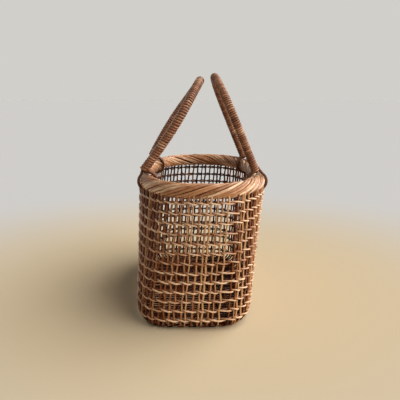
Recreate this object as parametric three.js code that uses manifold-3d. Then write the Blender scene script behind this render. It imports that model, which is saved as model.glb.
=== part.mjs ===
// An oval openwork vine basket with two swinging arch handles.
// Millimetres, +Z up. X runs across the basket and Y along it.
// The origin is on the floor under the rim's centre.

import * as THREE from 'three';
import { mergeVertices } from 'three/addons/utils/BufferGeometryUtils.js';
import Module from 'manifold-3d';

// Rim: the stakes' folded ends, rolled into a border of round section on which they lie as ribs.
// Round the section, in degrees from level outwards, the ribs run along the rim outside and back inside.
const rimHalfWidth = 59.5;
const rimHalfLength = 112.5;
const rimSquareness = 2.5;
const rimRadius = 7.5;
const rimHeight = 134.5;
const rimRibCount = 76;
const rimGroove = 1.1;
const rimOutside = { from: -95, to: 107, rows: 5, travelInRibs: 7.5 };
const rimInside = { from: 107, to: 265, rows: 3, travelInRibs: -6.5 };

// Wall: upright stakes that bend in at the foot, which is squarer than the rim and stands to one side of it.
// A panel of neighbouring stakes is an upright run held by a thin tie, over a bent foot run held by a strip.
const wallOutset = 5;
const wallTaper = 6.6;
const footSquareness = 4.4;
const footRadius = 9;
const footShift = -9.5;
const stakeCount = 112;
const panelCount = 16;
const stakeDiameter = 1.7;
const stakeSides = 4;
const footBends = [0.5, 0.97];
const footStripWidth = 2.5;
const footStripThickness = 2;
const tieDiameter = 0.8;
const tieSides = 3;
const panelGap = 0.5;

// Weft: rows of twined vine round the outside of the stakes, spaced evenly up to just under the rim
const weftRowCount = 13;
const firstWeftHeight = 10.6;
const lastWeftDrop = 3;
const weftDiameter = 1.5;
const weftClearance = 0.6;
const weftSides = 3;
const weftStraightSide = 0.92;

// Base: a flat mat of bars in line with the stakes, with a frame round them
const baseThickness = 2.2;
const baseBarWidth = 1.8;
const baseFrameWidth = 4;
const baseSlotReach = 88;

// Handles: arches whose feet are bound to the rim by loops, drawn in the pose in which they lean together
const footStakeCount = 11;
const archRise = 52;
const coreDiameter = 6.2;
const coreSides = 6;
const wrapTurnCount = 20;
const wrapStepsPerTurn = 8;
const wrapSides = 4;
const wrapWidth = 2.8;
const wrapThickness = 1;
const wrapClearance = 0.5;
const leftHandle = { side: -1, lean: 33.2, legHeight: 59.8, legOffset: 10.1, twist: 3.1 };
const rightHandle = { side: 1, lean: 22.7, legHeight: 58.6, legOffset: 2.2, twist: 0 };
const loopDiameter = 2;
const loopSteps = 16;
const loopSides = 5;

const clearance = 0.3;

const wasm = await Module();
wasm.setup();

const wallTop = rimHeight - rimRadius;
const stakeRadius = stakeDiameter / 2;
const footLevel = footStripThickness / 2;
const footTop = footLevel + footRadius;
const weftPitch = (wallTop - lastWeftDrop - firstWeftHeight) / (weftRowCount - 1);
const weftHeights = Array.from({ length: weftRowCount }, (_, row) => firstWeftHeight + row * weftPitch);
const splitHeight = (weftHeights[0] + weftHeights[1]) / 2;
const tieHeight = (weftHeights[1] + weftHeights[2]) / 2;

const finish = {
  stake: { color: 0x8a5a3a, roughness: 0.55 },
  weft: { color: 0xb07c58, roughness: 0.5 },
  rim: { color: 0xa87048, roughness: 0.5 },
  base: { color: 0x6f452b, roughness: 0.65 },
  core: { color: 0x7a4c30, roughness: 0.6 },
  wrap: { color: 0x9a6444, roughness: 0.45 },
  loop: { color: 0x54321f, roughness: 0.55 },
};

function mesh(name, geometry, look) {
  const material = new THREE.MeshStandardMaterial({ ...finish[look], metalness: 0 });
  const part = new THREE.Mesh(geometry, material);
  part.name = name;
  return part;
}

function numbered(name, index) {
  return `${name}_${String(index + 1).padStart(2, '0')}`;
}

// Plans of the rim's centreline, of the wall under it and of the wall carried straight down to the floor
const rimPlan = { width: rimHalfWidth, length: rimHalfLength, squareness: rimSquareness };
const wallPlan = { ...rimPlan, width: rimHalfWidth + wallOutset, length: rimHalfLength + wallOutset };
const footWidth = wallPlan.width - wallTaper;
const footLength = wallPlan.length - wallTaper;
const footPlan = { width: footWidth, length: footLength, squareness: footSquareness };

// A plan is a superellipse: its point and its outward normal at the curve parameter `turn`
function planPoint(plan, turn) {
  const power = 2 / plan.squareness;
  const c = Math.cos(turn);
  const s = Math.sin(turn);
  const x = plan.width * Math.sign(c) * Math.abs(c) ** power;
  const y = plan.length * Math.sign(s) * Math.abs(s) ** power;
  return new THREE.Vector2(x, y);
}

function planNormal(plan, turn) {
  const p = planPoint(plan, turn);
  const slope = plan.squareness - 1;
  const nx = (Math.sign(p.x) * Math.abs(p.x / plan.width) ** slope) / plan.width;
  const ny = (Math.sign(p.y) * Math.abs(p.y / plan.length) ** slope) / plan.length;
  return new THREE.Vector2(nx, ny).normalize();
}

// Curve parameters that divide a plan into `count` equal lengths, the first one at `start` steps
function equalTurns(plan, count, start) {
  const fine = 7200;
  const lengths = [0];
  let last = planPoint(plan, 0);
  for (let i = 1; i <= fine; i += 1) {
    const next = planPoint(plan, (2 * Math.PI * i) / fine);
    lengths.push(lengths[i - 1] + next.distanceTo(last));
    last = next;
  }
  const turns = [];
  let i = 0;
  for (let k = 0; k < count; k += 1) {
    const wanted = (lengths[fine] * (k + start)) / count;
    while (lengths[i + 1] < wanted) {
      i += 1;
    }
    const share = (wanted - lengths[i]) / (lengths[i + 1] - lengths[i]);
    turns.push((2 * Math.PI * (i + share)) / fine);
  }
  return turns;
}

// Straight lines down the wall, evenly spaced round both of its plans, with the outward normals at their ends
function wallLines(start) {
  const tops = equalTurns(wallPlan, stakeCount, start);
  const feet = equalTurns(footPlan, stakeCount, start);
  return tops.map((turn, i) => ({
    top: planPoint(wallPlan, turn),
    topOut: planNormal(wallPlan, turn),
    foot: planPoint(footPlan, feet[i]).add(new THREE.Vector2(footShift, 0)),
    footOut: planNormal(footPlan, feet[i]),
  }));
}

const stakeLines = wallLines(0.5);
const betweenLines = wallLines(0);

// How far down the foot's bend a height is, from 0 at its top to 1 where the stakes lie flat
function footDrop(z) {
  return Math.min(Math.max((footTop - z) / footRadius, 0), 1);
}

function wallOut(line, z) {
  return line.topOut.clone().lerp(line.footOut, 1 - z / wallTop).normalize();
}

function wallPoint(line, z) {
  const inset = footRadius * (1 - Math.sqrt(1 - footDrop(z) ** 2));
  const p = line.top.clone().lerp(line.foot, 1 - z / wallTop);
  p.addScaledVector(wallOut(line, z), -inset);
  return new THREE.Vector3(p.x, p.y, z);
}

function wallNormal(line, z) {
  const drop = footDrop(z);
  const level = Math.sqrt(1 - drop * drop);
  const n = wallOut(line, z).multiplyScalar(level);
  return new THREE.Vector3(n.x, n.y, -drop);
}

// A tube of polygon section along points; `across` gives a direction at each point that the section keeps to
function tube(points, across, radiusAcross, radiusOther, sides, closed) {
  const count = points.length;
  const positions = [];
  const index = [];
  for (let i = 0; i < count; i += 1) {
    const before = points[closed ? (i + count - 1) % count : Math.max(i - 1, 0)];
    const after = points[closed ? (i + 1) % count : Math.min(i + 1, count - 1)];
    const along = after.clone().sub(before).normalize();
    const u = across(i).clone();
    u.addScaledVector(along, -u.dot(along)).normalize();
    const v = along.clone().cross(u);
    for (let j = 0; j < sides; j += 1) {
      const angle = (2 * Math.PI * (j + 0.5)) / sides;
      const p = points[i].clone();
      p.addScaledVector(u, radiusAcross * Math.cos(angle));
      p.addScaledVector(v, radiusOther * Math.sin(angle));
      positions.push(p.x, p.y, p.z);
    }
  }
  const rings = closed ? count : count - 1;
  for (let i = 0; i < rings; i += 1) {
    const here = i * sides;
    const next = ((i + 1) % count) * sides;
    for (let j = 0; j < sides; j += 1) {
      const k = (j + 1) % sides;
      index.push(here + j, here + k, next + j);
      index.push(here + k, next + k, next + j);
    }
  }
  if (!closed) {
    const end = (count - 1) * sides;
    for (let j = 1; j < sides - 1; j += 1) {
      index.push(0, j + 1, j);
      index.push(end, end + j, end + j + 1);
    }
  }
  const geometry = new THREE.BufferGeometry();
  geometry.setAttribute('position', new THREE.Float32BufferAttribute(positions, 3));
  geometry.setIndex(index);
  return geometry;
}

function extruded(shape, low, high) {
  const geometry = new THREE.ExtrudeGeometry(shape, { depth: high - low, bevelEnabled: false });
  return geometry.translate(0, 0, low);
}

function toSolid(geometry) {
  const bare = geometry.clone();
  bare.deleteAttribute('normal');
  bare.deleteAttribute('uv');
  const merged = mergeVertices(bare);
  const vertProperties = merged.attributes.position.array;
  const triVerts = Uint32Array.from(merged.index.array);
  return new wasm.Manifold(new wasm.Mesh({ numProp: 3, vertProperties, triVerts }));
}

function joined(geometries) {
  const solids = geometries.map(toSolid);
  const whole = solids.reduce((sum, next) => sum.add(next));
  const out = whole.getMesh();
  const geometry = new THREE.BufferGeometry();
  geometry.setAttribute('position', new THREE.Float32BufferAttribute(out.vertProperties, 3));
  geometry.setIndex(Array.from(out.triVerts));
  return geometry;
}

// Each stake stops just under the rim, so its top follows how far out it stands from the rim's centreline
const rimCurve = equalTurns(rimPlan, rimRibCount, 0).map((turn) => {
  const p = planPoint(rimPlan, turn);
  return new THREE.Vector3(p.x, p.y, rimHeight);
});

function stakeTop(line) {
  const flat = new THREE.Vector3(line.top.x, line.top.y, rimHeight);
  const side = new THREE.Vector3();
  let out = Infinity;
  rimCurve.forEach((point, i) => {
    const chord = new THREE.Line3(point, rimCurve[(i + 1) % rimRibCount]);
    chord.closestPointToPoint(flat, true, side);
    out = Math.min(out, side.distanceTo(flat));
  });
  const reach = Math.max(out - stakeRadius, 0);
  return rimHeight - Math.sqrt(rimRadius ** 2 - reach ** 2) - clearance;
}

function stakeTube(line, heights) {
  const points = heights.map((z) => wallPoint(line, z));
  const sideways = new THREE.Vector3(-line.topOut.y, line.topOut.x, 0);
  return tube(points, () => sideways, stakeRadius, stakeRadius, stakeSides, false);
}

function uprightStake(line) {
  return stakeTube(line, [stakeTop(line), splitHeight + clearance / 2]);
}

// The foot of a stake bends in at the lowest row and then under the base
function footStake(line) {
  const bends = footBends.map((share) => footTop - footRadius * Math.sin((share * Math.PI) / 2));
  return stakeTube(line, [splitHeight - clearance / 2, weftHeights[0], ...bends]);
}

// A point of the foot's plan, `out` beyond the line where the stakes end
function footPoint(line, out) {
  const p = line.top.clone().lerp(line.foot, 1 - footLevel / wallTop);
  return p.addScaledVector(wallOut(line, footLevel), out - footRadius);
}

const stakesPerPanel = stakeCount / panelCount;

function panelLines(panel) {
  return stakeLines.slice(panel * stakesPerPanel, (panel + 1) * stakesPerPanel);
}

function wallPanel(panel) {
  const lines = panelLines(panel);
  const points = lines.map((line) => wallPoint(line, tieHeight));
  const up = new THREE.Vector3(0, 0, 1);
  const tie = tube(points, () => up, tieDiameter / 2, tieDiameter / 2, tieSides, false);
  return joined([tie, ...lines.map(uprightStake)]);
}

function footPanel(panel) {
  const first = panel * stakesPerPanel;
  const inner = [];
  const outer = [];
  for (let k = 0; k <= stakesPerPanel; k += 1) {
    const line = betweenLines[(first + k) % stakeCount];
    inner.push(footPoint(line, 0));
    outer.push(footPoint(line, footStripWidth));
  }
  for (const edge of [inner, outer]) {
    const [start, second] = edge;
    const end = edge[stakesPerPanel];
    const beforeEnd = edge[stakesPerPanel - 1];
    edge[0] = start.clone().lerp(second, panelGap / 2 / start.distanceTo(second));
    edge[stakesPerPanel] = end.clone().lerp(beforeEnd, panelGap / 2 / end.distanceTo(beforeEnd));
  }
  const outline = new THREE.Shape([...outer, ...inner.reverse()]);
  const strip = extruded(outline, 0, footStripThickness);
  return joined([strip, ...panelLines(panel).map(footStake)]);
}

// A row bends at every second stake round the ends and at every fourth along the nearly straight sides
function weftRow(z) {
  const out = stakeRadius + weftDiameter / 2 + weftClearance;
  const lines = stakeLines.filter((line, i) => {
    const straight = Math.abs(line.topOut.x) > weftStraightSide;
    return i % (straight ? 4 : 2) === 0;
  });
  const points = lines.map((line) => wallPoint(line, z).addScaledVector(wallNormal(line, z), out));
  const up = new THREE.Vector3(0, 0, 1);
  return tube(points, () => up, weftDiameter / 2, weftDiameter / 2, weftSides, true);
}

// Rows of points run round the rim, on a rib and in a groove by turns, each row moved on by the ribs' slant.
// Each row joins the next point for point, and the last one joins the first after one rib.
function rimBorder() {
  const spotCount = 2 * rimRibCount;
  const rows = [];
  let travel = 0;
  for (const patch of [rimOutside, rimInside]) {
    for (let i = 0; i < patch.rows; i += 1) {
      const share = i / patch.rows;
      const angle = THREE.MathUtils.degToRad(patch.from + (patch.to - patch.from) * share);
      rows.push({ angle, moved: 2 * (travel + patch.travelInRibs * share), slant: patch.travelInRibs });
    }
    travel += patch.travelInRibs;
  }
  const positions = [];
  const index = [];
  rows.forEach(({ angle, moved, slant }, row) => {
    const whole = Math.floor(moved);
    const turns = equalTurns(rimPlan, spotCount, moved - whole);
    const isLast = row === rows.length - 1;
    const here = row * spotCount;
    const next = isLast ? 0 : here + spotCount;
    const skip = isLast ? 2 * travel : 0;
    for (let n = 0; n < spotCount; n += 1) {
      const turn = turns[(n + whole) % spotCount];
      const radius = n % 2 === 0 ? rimRadius : rimRadius - rimGroove;
      const p = planPoint(rimPlan, turn).addScaledVector(planNormal(rimPlan, turn), radius * Math.cos(angle));
      positions.push(p.x, p.y, rimHeight + radius * Math.sin(angle));
      const a = here + n;
      const b = here + ((n + 1) % spotCount);
      const c = next + ((n + skip) % spotCount);
      const d = next + ((n + 1 + skip) % spotCount);
      if (slant > 0) {
        index.push(a, b, c, b, d, c);
      } else {
        index.push(a, b, d, a, d, c);
      }
    }
  });
  const geometry = new THREE.BufferGeometry();
  geometry.setAttribute('position', new THREE.Float32BufferAttribute(positions, 3));
  geometry.setIndex(index);
  return geometry;
}

// The slots are between neighbouring stakes. The middle of the mat, on which the origin lies, has none.
function baseMat() {
  const lines = betweenLines.filter((line, i) => i % 2 === 0);
  const shape = new THREE.Shape(lines.map((line) => footPoint(line, -2 * clearance)));
  const middle = footShift * (1 - footLevel / wallTop);
  for (let i = 0; i < stakeCount / 4; i += 1) {
    const low = footPoint(stakeLines[i], -baseFrameWidth);
    const high = footPoint(stakeLines[i + 1], -baseFrameWidth);
    if (high.y > baseSlotReach) {
      break;
    }
    const halfLength = high.x - middle;
    const from = low.y + baseBarWidth / 2;
    const to = high.y - baseBarWidth / 2;
    for (const side of [-1, 1]) {
      const corners = [[-halfLength, from], [halfLength, from], [halfLength, to], [-halfLength, to]];
      shape.holes.push(new THREE.Path(corners.map(([x, y]) => new THREE.Vector2(middle + x, side * y))));
    }
  }
  return extruded(shape, 0, baseThickness);
}

// The handle feet are bound through the gap after a number of stakes from the middle of the long side.
// The rim slants from the hinge line there, so the loops are wide enough to turn on it.
const footHalfSpan = betweenLines[footStakeCount].top.y;
const footTurn = Math.asin((footHalfSpan / rimHalfLength) ** (rimSquareness / 2));
const hingeX = planPoint(rimPlan, footTurn).x;
const rimSlant = Math.abs(planNormal(rimPlan, footTurn).angle());
const loopRadius = (rimRadius + loopDiameter / 2 + 2 * clearance) / Math.cos(rimSlant);
const loopReach = loopRadius + loopDiameter / 2 + clearance;

// A leg starts above its loop, and lower down when it stands to the loop's side
function footStart(handle) {
  const beside = Math.max(handle.legOffset - coreDiameter / 2, 0);
  return Math.sqrt(loopReach ** 2 - beside ** 2);
}

// Arch centreline in the handle's own frame: Y along the hinge, Z up the legs, X outward from the basket
function archCurve(handle) {
  const top = handle.legHeight + archRise;
  const start = footStart(handle);
  const legSteps = 5;
  const archSteps = 18;
  const flat = [];
  for (let i = 0; i < legSteps; i += 1) {
    flat.push([-footHalfSpan, start + ((handle.legHeight - start) * i) / legSteps]);
  }
  for (let i = 0; i <= archSteps; i += 1) {
    const angle = (Math.PI * i) / archSteps;
    flat.push([-footHalfSpan * Math.cos(angle), handle.legHeight + archRise * Math.sin(angle)]);
  }
  for (let i = legSteps - 1; i >= 0; i -= 1) {
    flat.push([footHalfSpan, start + ((handle.legHeight - start) * i) / legSteps]);
  }
  const points = flat.map(([y, z]) => {
    const bow = handle.twist * (y / footHalfSpan) * Math.sin((Math.PI * z) / top);
    return new THREE.Vector3(handle.side * (handle.legOffset + bow), y, z);
  });
  return points;
}

function handleCore(handle) {
  const outward = new THREE.Vector3(handle.side, 0, 0);
  return tube(archCurve(handle), () => outward, coreDiameter / 2, coreDiameter / 2, coreSides, false);
}

// The wrapping is one strand wound round the arch, with a short straight run at each end
function handleWrap(handle, name) {
  const curve = new THREE.CatmullRomCurve3(archCurve(handle));
  curve.arcLengthDivisions = 1000;
  const steps = wrapTurnCount * wrapStepsPerTurn;
  const sagitta = 1 / Math.cos(Math.PI / wrapStepsPerTurn);
  const radius = (coreDiameter / 2 + wrapClearance + wrapThickness / 2) * sagitta;
  const margin = (wrapWidth * 2) / curve.getLength();
  const points = [];
  const outward = [];
  for (let i = 0; i <= steps; i += 1) {
    const share = margin + ((1 - 2 * margin) * i) / steps;
    const along = curve.getTangentAt(share);
    const u = new THREE.Vector3(handle.side, 0, 0);
    u.addScaledVector(along, -u.dot(along)).normalize();
    const v = along.clone().cross(u);
    const angle = (2 * Math.PI * i) / wrapStepsPerTurn;
    const out = u.multiplyScalar(Math.cos(angle)).addScaledVector(v, Math.sin(angle));
    points.push(curve.getPointAt(share).addScaledVector(out, radius));
    outward.push(out);
  }
  const start = points[0].clone().sub(points[1]).setLength(wrapWidth);
  const end = points[steps].clone().sub(points[steps - 1]).setLength(wrapWidth);
  points.unshift(points[0].clone().add(start));
  points.push(points[points.length - 1].clone().add(end));
  outward.unshift(outward[0]);
  outward.push(outward[outward.length - 1]);
  console.log(`${name}: least gap between turns ${leastGap(points).toFixed(2)} mm`);
  const corner = 1 / Math.cos(Math.PI / wrapSides);
  const across = (wrapThickness / 2) * corner;
  return tube(points, (i) => outward[i], across, (wrapWidth / 2) * corner, wrapSides, false);
}

// Least distance between stretches of the strand at least half a turn apart, less the strand's width
function leastGap(points) {
  const apart = wrapStepsPerTurn / 2 + 1;
  let least = Infinity;
  points.forEach((p, i) => {
    for (let k = i + apart; k < points.length; k += 1) {
      least = Math.min(least, p.distanceTo(points[k]));
    }
  });
  return least - wrapWidth;
}

function rimLoop() {
  const points = [];
  for (let i = 0; i < loopSteps; i += 1) {
    const angle = (2 * Math.PI * i) / loopSteps;
    points.push(new THREE.Vector3(loopRadius * Math.cos(angle), 0, loopRadius * Math.sin(angle)));
  }
  const hinge = new THREE.Vector3(0, 1, 0);
  return tube(points, () => hinge, loopDiameter / 2, loopDiameter / 2, loopSides, true);
}

function handleGroup(handle, name) {
  const group = new THREE.Group();
  group.position.set(handle.side * hingeX, 0, rimHeight);
  group.rotation.y = THREE.MathUtils.degToRad(-handle.side * handle.lean);
  group.add(mesh(`${name}_core`, handleCore(handle), 'core'));
  group.add(mesh(`${name}_wrap`, handleWrap(handle, `${name}_wrap`), 'wrap'));
  const near = mesh(`${name}_near_loop`, rimLoop(), 'loop');
  const far = mesh(`${name}_far_loop`, rimLoop(), 'loop');
  near.position.y = -footHalfSpan;
  far.position.y = footHalfSpan;
  group.add(near, far);
  return group;
}

const basket = new THREE.Group();
basket.add(mesh('base_mat', baseMat(), 'base'));
for (let i = 0; i < panelCount; i += 1) {
  basket.add(mesh(numbered('foot_stakes', i), footPanel(i), 'stake'));
  basket.add(mesh(numbered('wall_stakes', i), wallPanel(i), 'stake'));
}
weftHeights.forEach((z, i) => basket.add(mesh(numbered('weft_row', i), weftRow(z), 'weft')));
basket.add(mesh('rim_border', rimBorder(), 'rim'));
basket.add(handleGroup(leftHandle, 'left_handle'));
basket.add(handleGroup(rightHandle, 'right_handle'));

export default basket;
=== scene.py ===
import math

import bpy
import numpy as np
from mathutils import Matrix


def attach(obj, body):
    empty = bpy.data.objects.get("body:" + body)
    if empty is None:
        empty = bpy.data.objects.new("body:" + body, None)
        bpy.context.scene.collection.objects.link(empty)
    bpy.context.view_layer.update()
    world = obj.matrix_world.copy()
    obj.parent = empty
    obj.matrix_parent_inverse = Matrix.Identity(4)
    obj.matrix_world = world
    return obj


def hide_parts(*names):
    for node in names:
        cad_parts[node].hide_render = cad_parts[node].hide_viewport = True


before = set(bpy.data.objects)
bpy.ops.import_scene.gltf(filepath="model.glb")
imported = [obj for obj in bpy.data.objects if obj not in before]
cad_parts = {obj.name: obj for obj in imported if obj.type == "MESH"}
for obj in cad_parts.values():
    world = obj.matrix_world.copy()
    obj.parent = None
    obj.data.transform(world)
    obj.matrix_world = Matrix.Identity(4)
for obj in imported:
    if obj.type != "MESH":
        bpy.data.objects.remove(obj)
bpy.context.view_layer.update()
rng = np.random.default_rng(11)

# Sizes in millimetres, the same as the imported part's; a plan is half width, half length and squareness
RIM_PLAN = (59.5, 112.5, 2.5)
RIM_HEIGHT = 134.5
RIM_RADIUS = 7.5
WALL_PLAN = (64.5, 117.5, 2.5)
WALL_TOP = 127.0
FOOT_PLAN = (57.9, 110.9, 4.4)
FOOT_RADIUS = 9.0
FOOT_TOP = 10.0
FOOT_SHIFT = -9.5
STAKES = 112
PANELS = 16
WEFT_ROWS = 13
WEFT_FIRST = 10.6
WEFT_PITCH = 9.45
HINGE_X = 54.41047667
FOOT_HALF_SPAN = 59.1352
ARCH_RISE = 52.0

# Stakes, weft and base as they look, in millimetres; the wide gap's place is counted in stakes
BASE_LEVEL = 2.05
STAKE_RADIUS = 0.98
STAKE_TOP = 131.5
# A stake's outer side is paler as wear and its inner side darker as painted shade, by this share of tone
STAKE_WEAR_AND_SHADE = 0.4
WIDE_GAP = 89
WEFT_RADIUS = 0.85
WEFT_SWING = 1.88
WEFT_SLOPE = 0.9
# A weft's outer side is paler as wear and its inner side darker as painted shade, by this share of tone
WEFT_WEAR_AND_SHADE = 0.36
STEPS_PER_STAKE = 6
BASE_STRAND_RADIUS = 0.6
BASE_ROUND_INSETS = (-1.5, 3.5)
BASE_ROW_PITCH = 8.4
BASE_STEP = 0.8
CROSSING = 88.0

# Border and handles as they look, in millimetres; travel and places are counted in stakes
RIM_STRANDS = 76
RIM_STRAND_RADIUS = 1.36
RIM_TRAVEL = 11.8
RIM_CORE_RADIUS = 5.3
CORE_INSET = 1.15
WRAP_INSET = 0.8
WRAP_HALF_THICKNESS = 0.82
STEPS_PER_TURN = 24
# The binding's outer side is paler as wear and its inner side, down between the turns, darker as painted
# shade, by this share of tone
WRAP_WEAR_AND_SHADE = 0.3
TIE_PLACES = (11, 45, 67, 101)
TIE_RING = 9.2
TIE_RADIUS = 1.25
TIE_DIP = 1.9
END_RING = 9.85
END_RADIUS = 1.3
END_SPREAD = 2.6

# Shares of a strand's radius and tone at the tip of its cut end
END_CONE = 0.35
END_SHADE = 0.8


# Plan and wall

def unit(v):
    return v / np.maximum(np.linalg.norm(v, axis=-1, keepdims=True), 1e-9)


def lengths(path):
    """The distance along a path at each of its points."""
    return np.concatenate([[0], np.cumsum(np.linalg.norm(np.diff(path, axis=0), axis=1))])


def plan_frame(plan, turn):
    """Points and outward normals of a plan at its curve parameters."""
    half, slope = np.array(plan[:2]), plan[2] - 1
    way = np.stack([np.cos(turn), np.sin(turn)], -1)
    points = half * np.sign(way) * np.abs(way) ** (2 / plan[2])
    normals = np.sign(points) * np.abs(points / half) ** slope / half
    return points, unit(normals)


def turn_table(plan):
    """Places along a plan, counted in stake pitches, and their curve parameters."""
    turns = np.linspace(0, 2 * math.pi, 7201)
    points, _ = plan_frame(plan, turns)
    places = lengths(points)
    return places / places[-1] * STAKES, turns


RIM_TABLE = turn_table(RIM_PLAN)
WALL_TABLE = turn_table(WALL_PLAN)
FOOT_TABLE = turn_table(FOOT_PLAN)

# Uneven spacing of the stakes, with one wide gap in the near wall and room for the handles' ties
nominal = np.arange(STAKES) + 0.5
beside_gap = nominal - WIDE_GAP
uneven = 0.11 * rng.normal(size=STAKES) + 0.36 * np.sign(beside_gap) * np.exp(-np.abs(beside_gap) / 3)
for place in TIE_PLACES:
    uneven[place - 1] = -np.abs(uneven[place - 1])
    uneven[place] = np.abs(uneven[place])
SPACING = (
    np.concatenate([nominal - STAKES, nominal, nominal + STAKES]),
    np.concatenate([nominal + uneven - STAKES, nominal + uneven, nominal + uneven + STAKES]),
)


def spaced(place):
    return np.interp(place, *SPACING)


def wall_frame(place, height):
    """Points of the stake line and outward normals, at places round the wall and heights."""
    place = np.mod(place, STAKES)
    height = np.broadcast_to(np.asarray(height, float), np.shape(place))[..., None]
    share = 1 - height / WALL_TOP
    top, top_out = plan_frame(WALL_PLAN, np.interp(place, *WALL_TABLE))
    foot, foot_out = plan_frame(FOOT_PLAN, np.interp(place, *FOOT_TABLE))
    out = unit(top_out + (foot_out - top_out) * share)
    drop = np.clip((FOOT_TOP - height) / (FOOT_TOP - BASE_LEVEL), 0, 1)
    level = np.sqrt(1 - drop**2)
    flat = top + (foot + [FOOT_SHIFT, 0] - top) * share - out * FOOT_RADIUS * (1 - level)
    return np.concatenate([flat, height], -1), np.concatenate([out * level, -drop], -1)


# Mesh building

def wander(x, length, terms=4):
    """A smooth random wave that repeats after length, about -1 to 1."""
    total = np.zeros_like(x, dtype=float)
    for k in range(1, terms + 1):
        total += rng.normal() * np.sin(2 * math.pi * k * x / length + rng.uniform(0, 6.3)) / k**0.5
    return total / terms**0.5


def soft_clip(x):
    return x / (1 + np.abs(x) ** 4) ** 0.25


def smooth(x, low, high):
    t = np.clip((x - low) / (high - low), 0, 1)
    return t * t * (3 - 2 * t)


def bezier(a, b, c, d):
    t = np.linspace(0, 1, 14)[:, None]
    return (1 - t) ** 3 * a + 3 * t * (1 - t) ** 2 * b + 3 * t**2 * (1 - t) * c + t**3 * d


class Strands:
    """Vine strands gathered into one mesh, with a tone and a fibre direction at each point."""

    def __init__(self):
        self.points = []
        self.quads = []
        self.fans = []
        self.tones = []
        self.fibres = []
        self.count = 0

    def add(self, path, radius, hint, sides=8, closed=False, tone=0.5, flat=1.0, wear_and_shade=0.0):
        """One strand along a path; the hint is where its section starts, and the wear share makes that side
        paler, as wear, and the opposite side darker, as painted shade.
        """
        path = np.asarray(path, float)
        n = len(path)
        tangent = np.roll(path, -1, 0) - np.roll(path, 1, 0) if closed else np.gradient(path, axis=0)
        tangent = unit(tangent)
        hint = np.broadcast_to(np.asarray(hint, float), path.shape)
        across = unit(hint - (hint * tangent).sum(-1, keepdims=True) * tangent)
        other = np.cross(tangent, across)
        radius = np.broadcast_to(np.asarray(radius, float), (n,))
        tone = np.broadcast_to(np.asarray(tone, float), (n,))
        angle = 2 * math.pi * np.arange(sides) / sides
        c, s = np.cos(angle), np.sin(angle)
        rings = (
            path[:, None]
            + across[:, None] * (radius[:, None] * c)[..., None]
            + other[:, None] * (radius[:, None] * flat * s)[..., None]
        )
        # Each strand starts at its own random place in the noise of its material
        along = lengths(path) + rng.uniform(0, 900)
        fibre = np.stack(
            [
                np.broadcast_to(along[:, None], (n, sides)),
                np.broadcast_to(c, (n, sides)) + rng.uniform(0, 50),
                np.broadcast_to(s, (n, sides)),
            ],
            -1,
        )
        start = self.count
        i = np.arange(n if closed else n - 1)[:, None]
        j = np.arange(sides)[None]
        here, after = start + i * sides, start + ((i + 1) % n) * sides
        j2 = (j + 1) % sides
        self.quads.append(np.stack([here + j, here + j2, after + j2, after + j], -1).reshape(-1, 4))
        self.points.append(rings.reshape(-1, 3))
        # The hint side is paler as wear, and the opposite side darker as painted shade
        self.tones.append((tone[:, None] + wear_and_shade * c).ravel())
        self.fibres.append(fibre.reshape(-1, 3))
        self.count += n * sides
        if closed:
            return
        # A low cone over each end of an open strand, a little darker than its side
        for end, sign in ((0, -1), (n - 1, 1)):
            self.points.append((path[end] + sign * tangent[end] * radius[end] * END_CONE)[None])
            self.tones.append(tone[end : end + 1] * END_SHADE)
            self.fibres.append(fibre[end, :1])
            ring = start + end * sides
            j = np.arange(sides)
            a, b = (ring + (j + 1) % sides, ring + j) if sign < 0 else (ring + j, ring + (j + 1) % sides)
            self.fans.append(np.stack([np.full(sides, self.count), a, b], -1))
            self.count += 1

    def build(self, name, body, material, slot, *nodes):
        """The mesh as one piece of a body, in place of the nodes."""
        points = np.concatenate(self.points) / 1000
        quads = np.concatenate(self.quads)
        fans = np.concatenate(self.fans) if self.fans else np.zeros((0, 3), int)
        mesh = bpy.data.meshes.new(name)
        mesh.vertices.add(len(points))
        mesh.vertices.foreach_set("co", points.astype(np.float32).ravel())
        corners = np.concatenate([quads.ravel(), fans.ravel()])
        sizes = np.concatenate([np.full(len(quads), 4), np.full(len(fans), 3)])
        mesh.loops.add(len(corners))
        mesh.loops.foreach_set("vertex_index", corners.astype(np.int32))
        mesh.polygons.add(len(sizes))
        mesh.polygons.foreach_set("loop_start", (np.cumsum(sizes) - sizes).astype(np.int32))
        mesh.polygons.foreach_set("use_smooth", np.ones(len(sizes), bool))
        tone = mesh.attributes.new("tone", "FLOAT", "POINT")
        tone.data.foreach_set("value", np.concatenate(self.tones).astype(np.float32))
        fibre = mesh.attributes.new("fibre", "FLOAT_VECTOR", "POINT")
        fibre.data.foreach_set("vector", np.concatenate(self.fibres).astype(np.float32).ravel())
        mesh.update()
        mesh.validate()
        piece = bpy.data.objects.new(name, mesh)
        bpy.context.scene.collection.objects.link(piece)
        piece.data.materials.append(material)
        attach(piece, body)
        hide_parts(*nodes)


# Materials

# Shares of a strand's tone, streaks and fine grain in its colour, and the value that centres them
TONE_SHARE = 0.8
STREAK_SHARE = 0.8
GRAIN_SHARE = 0.3
COLOUR_CENTRE = -0.47


def linear(rgb):
    c = np.array(rgb, float) / 255
    return [*np.where(c <= 0.04045, c / 12.92, ((c + 0.055) / 1.055) ** 2.4), 1.0]


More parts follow.
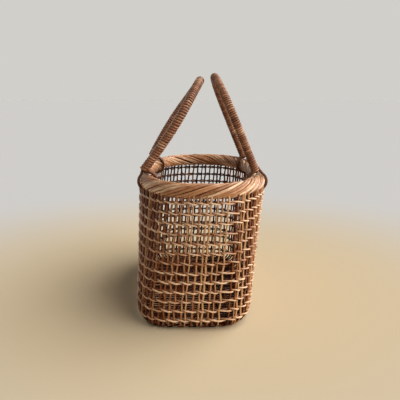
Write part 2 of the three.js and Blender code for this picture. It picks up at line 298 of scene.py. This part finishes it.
def vine(name, dark, mid, light, rough=(0.26, 0.5), bump=0.35, blotches=0.7, coat=0.2, gloss=0.12):
    """Peeled vine: a tone for each strand, streaks along its fibre, blotches and a satin skin."""
    material = bpy.data.materials.new(name)
    material.use_nodes = True
    nodes, links = material.node_tree.nodes, material.node_tree.links
    shader = nodes["Principled BSDF"]
    tone = nodes.new("ShaderNodeAttribute")
    tone.attribute_name = "tone"
    fibre = nodes.new("ShaderNodeAttribute")
    fibre.attribute_name = "fibre"

    def noise(scale, detail):
        mapping = nodes.new("ShaderNodeMapping")
        mapping.inputs["Scale"].default_value = scale
        links.new(fibre.outputs["Vector"], mapping.inputs["Vector"])
        made = nodes.new("ShaderNodeTexNoise")
        made.inputs["Scale"].default_value = 1.0
        made.inputs["Detail"].default_value = detail
        links.new(mapping.outputs["Vector"], made.inputs["Vector"])
        return made.outputs["Fac"]

    def weigh(socket, amount, base):
        node = nodes.new("ShaderNodeMath")
        node.operation = "MULTIPLY_ADD"
        node.inputs[1].default_value = amount
        links.new(socket, node.inputs[0])
        if isinstance(base, float):
            node.inputs[2].default_value = base
        else:
            links.new(base, node.inputs[2])
        return node.outputs[0]

    # A noise scale is along the strand, then twice across it
    streak = noise((0.16, 2.6, 2.6), detail=3.0)
    grain = noise((0.5, 7.0, 7.0), detail=2.0)
    blotch = noise((0.09, 0.5, 0.5), detail=2.0)
    value = weigh(tone.outputs["Fac"], TONE_SHARE, COLOUR_CENTRE - blotches / 2)
    value = weigh(streak, STREAK_SHARE, value)
    value = weigh(blotch, blotches, value)
    value = weigh(grain, GRAIN_SHARE, value)
    ramp = nodes.new("ShaderNodeValToRGB")
    ramp.color_ramp.interpolation = "EASE"
    ramp.color_ramp.elements[0].position = 0.12
    ramp.color_ramp.elements[0].color = linear(dark)
    ramp.color_ramp.elements[1].position = 0.88
    ramp.color_ramp.elements[1].color = linear(light)
    ramp.color_ramp.elements.new(0.5).color = linear(mid)
    links.new(value, ramp.inputs["Fac"])
    links.new(ramp.outputs["Color"], shader.inputs["Base Color"])
    span = nodes.new("ShaderNodeMapRange")
    span.inputs["To Min"].default_value = rough[1]
    span.inputs["To Max"].default_value = rough[0]
    span.inputs["From Min"].default_value = 0.3
    span.inputs["From Max"].default_value = 0.7
    links.new(streak, span.inputs["Value"])
    links.new(span.outputs["Result"], shader.inputs["Roughness"])
    height = nodes.new("ShaderNodeBump")
    height.inputs["Strength"].default_value = bump
    height.inputs["Distance"].default_value = 0.0003
    links.new(weigh(grain, 0.5, streak), height.inputs["Height"])
    links.new(height.outputs["Normal"], shader.inputs["Normal"])
    shader.inputs["Specular IOR Level"].default_value = gloss
    shader.inputs["Coat Weight"].default_value = coat
    shader.inputs["Coat Roughness"].default_value = 0.26
    return material


STAKE_VINE = vine("stake_vine", (60, 21, 2), (140, 76, 38), (216, 166, 116))
WEFT_VINE = vine("weft_vine", (66, 25, 3), (160, 98, 54), (240, 198, 156), coat=0.8)
RIM_VINE = vine("rim_vine", (96, 48, 16), (190, 130, 84), (250, 218, 178), blotches=0.45, coat=0.6)
# Painted shade: the base's vine is darker than the stakes' and wefts', for the shade inside the basket
BASE_VINE_PAINTED_SHADE = vine(
    "base_vine", (62, 22, 3), (120, 62, 28), (154, 96, 54), rough=(0.5, 0.7), coat=0.0, gloss=0.0
)
WRAP_VINE = vine("wrap_vine", (60, 26, 8), (138, 82, 46), (230, 180, 138), blotches=0.35, coat=0.6)
LOOP_VINE = vine("loop_vine", (52, 24, 10), (110, 66, 38), (172, 120, 80), bump=0.5)
# Painted shade: a near-black vine for the rim's core and the handles' bundles, which show only in the gaps
# between strands
PAINTED_SHADE_VINE = vine(
    "dark_vine", (30, 13, 5), (52, 28, 14), (76, 46, 26), rough=(0.55, 0.75), coat=0.0, gloss=0.15
)


# Camera, in the place that fits the photograph

camera_data = bpy.data.cameras.new("camera")
camera = bpy.data.objects.new("camera", camera_data)
bpy.context.scene.collection.objects.link(camera)
bpy.context.scene.camera = camera
camera_data.sensor_width = 36
camera_data.lens = 44.19
camera_data.clip_start = 0.01
camera.location = (-0.0102, -0.541, 0.217)
camera.rotation_euler = (math.radians(78.1), 0, math.radians(-0.91))


# Stakes: across the base, up the foot bend and the wall, into the border

def stake_path(index):
    """Points of one stake from where it leaves the base to inside the border, and the wall's normals."""
    bend = np.linspace(math.pi / 2, 0, 9)
    foot_heights = FOOT_TOP - (FOOT_TOP - BASE_LEVEL) * np.sin(bend)
    heights = np.concatenate([foot_heights, np.linspace(12, STAKE_TOP, 58)])
    points, normals = wall_frame(spaced(np.full(len(heights), index + 0.5)), heights)
    side = unit(np.stack([-normals[:, 1], normals[:, 0], np.full(len(heights), 1e-6)], -1))
    side[0] = side[1]
    row_wave = np.cos(math.pi * (heights - WEFT_FIRST) / WEFT_PITCH)
    zigzag = (0.22 + 0.1 * rng.normal()) * (-1) ** index * row_wave
    drift = zigzag * smooth(heights, 6, 14) + 0.4 * wander(heights, 150) * smooth(heights, 4, 40)
    depth = 0.16 * wander(heights, 90) * smooth(heights, 8, 30)
    return points + side * drift[:, None] + normals * depth[:, None], normals


def base_run(index, start):
    """The run of a stake under the base: to the middle from the long sides, a short way in from the ends."""
    middle = wall_frame(np.array([index + 0.5]), BASE_LEVEL)[0][0]
    if abs(middle[1]) < CROSSING:
        end = np.array([FOOT_SHIFT, middle[1], BASE_LEVEL])
    else:
        end = np.array([middle[0], math.copysign(CROSSING + 2, middle[1]), BASE_LEVEL])
    return end + (start - end) * np.linspace(0, 1, 12)[:-1, None]


stakes, stake_normals = zip(*[stake_path(i) for i in range(STAKES)])
per_panel = STAKES // PANELS
for panel in range(PANELS):
    strands = Strands()
    for i in range(panel * per_panel, (panel + 1) * per_panel):
        under = base_run(i, stakes[i][0])
        path = np.concatenate([under, stakes[i]])
        outside = np.concatenate([np.tile([0.0, 0, -1], (len(under), 1)), stake_normals[i]])
        length = lengths(path)
        radius = STAKE_RADIUS * (1 + 0.09 * rng.normal()) * (1 + 0.05 * wander(length, 70))
        for knot in rng.uniform(30, length[-1], 3):
            radius = radius * (1 + 0.14 * np.exp(-(((length - knot) / 1.6) ** 2)))
        tone = np.clip(0.4 + 0.25 * rng.normal() + 0.08 * wander(length, 160), 0, 1)
        # Painted shade: each stake is darker low down, fully on its run under the base and fading out up the
        # foot bend
        tone = tone - 0.3 * (1 - smooth(path[:, 2], 2, 14))
        # Painted shade on each stake's inner side, with paler wear on its outer side
        strands.add(path, radius, outside, sides=8, tone=tone, wear_and_shade=STAKE_WEAR_AND_SHADE)
    number = f"{panel + 1:02d}"
    replaced = (f"wall_stakes_{number}", f"foot_stakes_{number}")
    strands.build(f"stakes_{number}", "basket", STAKE_VINE, "stake_vine", *replaced)


# Weft: two vines to a row, each over two stakes and behind the next two, crossing in between

def twined(place, first, strand):
    """Swing out from the stake line and rise along the wall, for one of a row's two vines."""
    phase = math.pi * (place - first) / 2 + strand * math.pi
    return WEFT_SWING * soft_clip(1.35 * np.cos(phase)), -WEFT_SLOPE * np.sin(phase)


def joint_tones(place):
    """Tones along a row: a few vines one after another, each a little different."""
    cuts = np.sort(rng.uniform(0, STAKES, 4))
    tones = np.clip(0.41 + 0.17 * rng.normal(size=5), 0.1, 0.95)
    return tones[np.searchsorted(cuts, place)] + 0.06 * wander(place, STAKES, 12)


round_wall = np.arange(STAKES * STEPS_PER_STAKE) / STEPS_PER_STAKE
under_ties = sum(np.exp(-(((round_wall - place) / 1.6) ** 2)) for place in TIE_PLACES)
for row in range(WEFT_ROWS):
    strands = Strands()
    sway = 0.45 * wander(round_wall, STAKES, 6)
    if row == WEFT_ROWS - 1:
        sway = sway * (1 - under_ties) - TIE_DIP * under_ties
    for strand in (0, 1):
        swing, rise = twined(round_wall, row % 2, strand)
        slip = 0.22 * wander(round_wall, STAKES, 40)
        level = WEFT_FIRST + WEFT_PITCH * row + sway * (0.4 if row == 0 else 1.0)
        points, normals = wall_frame(spaced(round_wall), level)
        up = np.cross(normals, unit(np.roll(points, -1, 0) - np.roll(points, 1, 0)))
        path = points + normals * swing[:, None] + up * (rise + slip)[:, None]
        radius = WEFT_RADIUS * (1 + 0.1 * wander(round_wall, STAKES, 30))
        # Painted shade: each weft is darker where it swings in behind the stakes, and paler where it swings
        # out over them as wear on the bends
        tone = joint_tones(round_wall) + 0.16 * swing / WEFT_SWING
        strands.add(path, radius, normals, sides=8, closed=True, tone=tone, wear_and_shade=WEFT_WEAR_AND_SHADE)
    number = f"{row + 1:02d}"
    strands.build(f"weft_{number}", "basket", WEFT_VINE, "weft_vine", f"weft_row_{number}")


# Base: rows twined lengthwise through the crossing stakes, and two rows round them

strands = Strands()
for row, inset in enumerate(BASE_ROUND_INSETS):
    for strand in (0, 1):
        swing, rise = twined(round_wall, row, strand)
        points, normals = wall_frame(spaced(round_wall), BASE_LEVEL + 0.02)
        _, flat_out = wall_frame(spaced(round_wall), 40.0)
        points = points - flat_out * inset
        path = points + normals * (swing * 0.75)[:, None] + flat_out * rise[:, None]
        tone = joint_tones(round_wall)
        strands.add(path, BASE_STRAND_RADIUS, normals, sides=6, closed=True, tone=tone)
crossing = [i for i in range(STAKES) if stakes[i][0][0] > FOOT_SHIFT and abs(stakes[i][0][1]) < CROSSING]
crossing.sort(key=lambda i: stakes[i][0][1])
crossing_y = np.array([stakes[i][0][1] for i in crossing])
reach = crossing_y[-1] + 2.5
y = np.arange(-reach, reach, BASE_STEP)
place = np.interp(y, crossing_y, np.arange(len(crossing)) + 0.5)
place += np.clip(y - crossing_y[-1], 0, None) / 5 + np.clip(y - crossing_y[0], None, 0) / 5
for row in range(-4, 5):
    for strand in (0, 1):
        swing, rise = twined(place, row % 2, strand)
        x = FOOT_SHIFT + row * BASE_ROW_PITCH + rise + 0.3 * wander(y, 200)
        path = np.stack([x, y, BASE_LEVEL + 0.76 * swing], -1)
        tone = 0.45 + 0.15 * rng.normal()
        strands.add(path, BASE_STRAND_RADIUS, (0, 0, 1), sides=6, tone=tone)
strands.build("base_weave", "basket", BASE_VINE_PAINTED_SHADE, "base_vine", "base_mat")


# Border: stake ends laid over the rim to one side, in an outer and an inner family

def rim_points(place, angle, lay):
    """Points on the rim's roll and their outward directions; angle 0 faces out and 90 degrees up."""
    flat, flat_out = plan_frame(RIM_PLAN, np.interp(np.mod(place, STAKES), *RIM_TABLE))
    out = np.concatenate([flat_out * np.cos(angle)[:, None], np.sin(angle)[:, None]], -1)
    centre = np.concatenate([flat, np.full((len(flat), 1), RIM_HEIGHT)], -1)
    return centre + out * np.broadcast_to(lay, np.shape(place))[:, None], out


def rim_family(name, first_angle, last_angle, travel, dip):
    """Strands round the roll between two angles, that travel along it and dip into it at both ends."""
    strands = Strands()
    along = np.linspace(0, 1, 44)
    for i in range(RIM_STRANDS):
        start = (i + 0.14 * rng.normal()) * STAKES / RIM_STRANDS
        angle = np.radians(first_angle + (last_angle - first_angle) * along + 2.0 * rng.normal())
        angle = angle + np.radians(1.6) * wander(along, 1.4, 2)
        size = RIM_STRAND_RADIUS * (1 + 0.08 * rng.normal())
        lay = RIM_RADIUS - RIM_STRAND_RADIUS - 0.1 * abs(rng.normal())
        lay = lay - dip * (1 - smooth(along, 0, 0.1)) - dip * smooth(along, 0.86, 1)
        path, out = rim_points(start + travel * along, angle, lay)
        radius = np.minimum(size * (1 + 0.05 * wander(along, 1, 3)), RIM_STRAND_RADIUS * 1.08)
        tone = np.clip(0.52 + 0.17 * rng.normal() + 0.1 * wander(along, 1.5, 2), 0, 1)
        strands.add(path, radius, out, sides=10, tone=tone)
    strands.build(name, "basket", RIM_VINE, "rim_vine", "rim_border")


rim_family("rim_outer_strands", first_angle=-95, last_angle=116, travel=RIM_TRAVEL, dip=2.2)
rim_family("rim_inner_strands", first_angle=265, last_angle=98, travel=RIM_TRAVEL * 0.85, dip=2.6)
# The rim's core is near-black, as painted shade in the gaps between the border's strands
strands = Strands()
place = np.arange(STAKES * 2) / 2
path, _ = rim_points(place, np.zeros_like(place), 0.0)
strands.add(path, RIM_CORE_RADIUS, (0, 0, 1), sides=20, closed=True, tone=0.3)
strands.build("rim_core", "basket", PAINTED_SHADE_VINE, "rim_vine", "rim_border")


# Handles: a dark bundle bound with one split vine, and a loop round the rim at each foot

class Handle:
    """One handle, made in its own frame with the origin on its hinge, and leant towards the middle.

    lean: degrees towards the middle
    leg, foot: heights at which the arch and the binding start
    offset: how far out from the hinge the legs stand
    twist: how far the legs bow, the far one out and the near one in
    pitch, radius: the binding's pitch and outer radius
    lead: how far out from the leg a tie leaves it
    tie, ends: first and last angle round the rim, in degrees, of a tie and of the bundle's ends
    """

    def __init__(self, name, side, lean, leg, foot, offset, twist, pitch, radius, lead, tie, ends):
        self.name = name
        self.side = side
        self.leg = leg
        self.foot = foot
        self.offset = offset
        self.twist = twist
        self.pitch = pitch
        self.radius = radius
        self.lead = lead
        self.tie = tie
        self.ends = ends
        angle = math.radians(-side * lean)
        c, s = math.cos(angle), math.sin(angle)
        self.matrix = np.array([[c, 0, s], [0, 1, 0], [-s, 0, c]])
        self.place = np.array([side * HINGE_X, 0, RIM_HEIGHT])

    def world(self, points):
        return np.asarray(points) @ self.matrix.T + self.place

    def direction(self, vectors):
        return np.asarray(vectors) @ self.matrix.T

    def arch(self):
        """Points up the near leg, over the arch and down the far leg, in the handle's own frame."""
        up = np.linspace(self.foot, self.leg, 60)[:-1]
        turn = np.linspace(0, math.pi, 160)
        near, far = np.full(len(up), -1.0), np.full(len(up), 1.0)
        y = np.concatenate([near, -np.cos(turn), far]) * FOOT_HALF_SPAN
        z = np.concatenate([up, self.leg + ARCH_RISE * np.sin(turn), up[::-1]])
        bow = self.twist * (y / FOOT_HALF_SPAN) * np.sin(math.pi * z / (self.leg + ARCH_RISE))
        return np.stack([self.side * (self.offset + bow), y, z], -1)

    def build(self):
        arch = self.arch()
        core = Strands()
        # The bundle is near-black, as painted shade in the gaps of the binding
        core.add(self.world(arch), self.radius - CORE_INSET, self.direction([1, 0, 0]), sides=14, tone=0.4)
        core.build(f"{self.name}_bundle", self.name, PAINTED_SHADE_VINE, "core_vine", f"{self.name}_core")
        self.binding(arch)
        self.loop("near", -1)
        self.loop("far", 1)

    def binding(self, arch):
        """One flat vine wound round the bundle from foot to foot, with a tone for each turn."""
        length = lengths(arch)
        turns = (length[-1] - 1.5) / self.pitch
        at = np.linspace(0.6, length[-1] - 0.6, int(turns * STEPS_PER_TURN))
        centre = np.stack([np.interp(at, length, arch[:, k]) for k in range(3)], -1)
        tangent = unit(np.gradient(centre, axis=0))
        u = unit(np.array([1.0, 0, 0]) - tangent[:, :1] * tangent)
        v = np.cross(tangent, u)
        angle = 2 * math.pi * at / self.pitch + 0.25 * wander(at, 120, 6)
        out = u * np.cos(angle)[:, None] + v * np.sin(angle)[:, None]
        lay = self.radius - WRAP_INSET + 0.12 * wander(at, 60, 8)
        path = centre + out * lay[:, None]
        turn_tone = np.interp(at / self.pitch, np.arange(int(turns) + 3), rng.normal(size=int(turns) + 3))
        tone = np.clip(0.28 + 0.1 * turn_tone + 0.08 * wander(at, length[-1], 5), 0, 1)
        flat = self.pitch * 0.5 / WRAP_HALF_THICKNESS
        path, out = self.world(path), self.direction(out)
        wrap = Strands()
        # Painted shade in the creases between the binding's turns, with paler wear on their outer side
        wrap.add(path, WRAP_HALF_THICKNESS, out, sides=8, tone=tone, flat=flat, wear_and_shade=WRAP_WEAR_AND_SHADE)
        wrap.build(f"{self.name}_binding", self.name, WRAP_VINE, "wrap_vine", f"{self.name}_wrap")

    def loop(self, end, sign):
        """A vine that leaves the binding's outer side, goes round the rim and back into the foot."""
        angle = np.radians(np.linspace(*self.tie, 60))
        ring = TIE_RING * np.stack([np.cos(angle), np.sin(angle)], -1)
        way = np.stack([np.sin(angle), -np.cos(angle)], -1)
        start = np.array([self.offset + self.lead, self.foot + 4])
        finish = np.array([self.offset - 0.6, self.foot + 3])
        lead = bezier(start, start - [0, 3], ring[0] - way[0] * 3, ring[0])
        tail = bezier(ring[-1], ring[-1] + way[-1] * 2, finish - [0, 2], finish)
        flat = np.concatenate([lead[:-1], ring, tail[1:]])
        along = np.linspace(0, 1, len(flat))
        y = sign * FOOT_HALF_SPAN + 0.25 * wander(along, 1.6, 3)
        path = np.stack([self.side * flat[:, 0], y, flat[:, 1]], -1)
        radius = TIE_RADIUS * (1 + 0.05 * wander(along, 1.0, 5))
        strands = Strands()
        strands.add(self.world(path), radius, self.direction([0, 1, 0]), sides=10, tone=0.5, flat=1.12)
        for beside in (-END_SPREAD, END_SPREAD):
            path = self.bundle_end(sign * FOOT_HALF_SPAN + beside)
            taper = np.linspace(1, 0.8, len(path))
            strands.add(self.world(path), END_RADIUS * taper, self.direction([0, 1, 0]), sides=10, tone=0.6)
        strands.build(f"{self.name}_{end}_tie", self.name, LOOP_VINE, "loop_vine", f"{self.name}_{end}_loop")

    def bundle_end(self, y):
        """A vine of the bundle that leaves the binding and lies over the rim to its inner side."""
        angle = np.radians(np.linspace(*self.ends, 24) + 4 * rng.normal())
        ring = END_RING * np.stack([np.cos(angle), np.sin(angle)], -1)
        way = np.array([-np.sin(angle[0]), np.cos(angle[0])])
        start = np.array([self.offset - 1.2, self.foot + 7])
        flat = np.concatenate([bezier(start, start - [1, 4], ring[0] - way * 3, ring[0])[:-1], ring])
        return np.stack([self.side * flat[:, 0], np.full(len(flat), y), flat[:, 1]], -1)


left_handle = Handle(
    "left_handle",
    side=-1,
    lean=33.2,
    leg=59.8,
    foot=6.8,
    offset=10.1,
    twist=3.1,
    pitch=2.7,
    radius=4.6,
    lead=1.4,
    tie=(8, -312),
    ends=(88, 124),
)
right_handle = Handle(
    "right_handle",
    side=1,
    lean=22.7,
    leg=58.6,
    foot=9.0,
    offset=2.2,
    twist=0,
    pitch=2.15,
    radius=4.25,
    lead=3.4,
    tie=(25, -245),
    ends=(112, 158),
)
left_handle.build()
right_handle.build()


# Stage: a plain pale floor, warm round the basket and grey from a step away, soft light and a pale world

FLOOR_HALF = 30
FLOOR_FADE = ((0.15, (216, 196, 162)), (0.6, (209, 208, 206)))
FLOOR_CORNERS = [(x * FLOOR_HALF, y * FLOOR_HALF, 0) for x, y in ((-1, -1), (1, -1), (1, 1), (-1, 1))]

floor_mesh = bpy.data.meshes.new("floor")
floor_mesh.from_pydata(FLOOR_CORNERS, [], [(0, 1, 2, 3)])
floor = bpy.data.objects.new("floor", floor_mesh)
bpy.context.scene.collection.objects.link(floor)
floor_material = bpy.data.materials.new("floor")
floor_material.use_nodes = True
nodes, links = floor_material.node_tree.nodes, floor_material.node_tree.links
where = nodes.new("ShaderNodeNewGeometry")
distance = nodes.new("ShaderNodeVectorMath")
distance.operation = "LENGTH"
links.new(where.outputs["Position"], distance.inputs[0])
fade = nodes.new("ShaderNodeValToRGB")
fade.color_ramp.interpolation = "EASE"
for stop, (metres, colour) in zip(fade.color_ramp.elements, FLOOR_FADE):
    stop.position = metres
    stop.color = linear(colour)
links.new(distance.outputs["Value"], fade.inputs["Fac"])
floor_shader = nodes["Principled BSDF"]
links.new(fade.outputs["Color"], floor_shader.inputs["Base Color"])
floor_shader.inputs["Roughness"].default_value = 1.0
floor_shader.inputs["Specular IOR Level"].default_value = 0.0
floor.data.materials.append(floor_material)


def sun(name, azimuth, elevation, spread, strength, colour):
    """A soft distant light; azimuth from +X towards the viewer, in degrees."""
    data = bpy.data.lights.new(name, "SUN")
    data.angle = math.radians(spread)
    data.energy = strength
    data.color = colour
    light = bpy.data.objects.new(name, data)
    light.rotation_euler = (0, math.radians(90 - elevation), math.radians(-azimuth))
    bpy.context.scene.collection.objects.link(light)


sun("key", azimuth=2, elevation=31, spread=100, strength=5.5, colour=(1.0, 0.985, 0.96))

world = bpy.data.worlds.new("world")
bpy.context.scene.world = world
world.use_nodes = True
nodes, links = world.node_tree.nodes, world.node_tree.links
light_world = nodes["Background"]
light_world.inputs["Color"].default_value = (1, 1, 1, 1)
light_world.inputs["Strength"].default_value = 0.05
seen_world = nodes.new("ShaderNodeBackground")
seen_world.inputs["Color"].default_value = linear((209, 207, 202))
rays = nodes.new("ShaderNodeLightPath")
seen = rays.outputs["Is Camera Ray"]
for ray in ("Is Glossy Ray", "Is Transmission Ray"):
    either = nodes.new("ShaderNodeMath")
    either.operation = "MAXIMUM"
    links.new(seen, either.inputs[0])
    links.new(rays.outputs[ray], either.inputs[1])
    seen = either.outputs[0]
mix = nodes.new("ShaderNodeMixShader")
links.new(seen, mix.inputs["Fac"])
links.new(light_world.outputs["Background"], mix.inputs[1])
links.new(seen_world.outputs["Background"], mix.inputs[2])
links.new(mix.outputs["Shader"], nodes["World Output"].inputs["Surface"])

bpy.context.scene.view_settings.view_transform = "Standard"
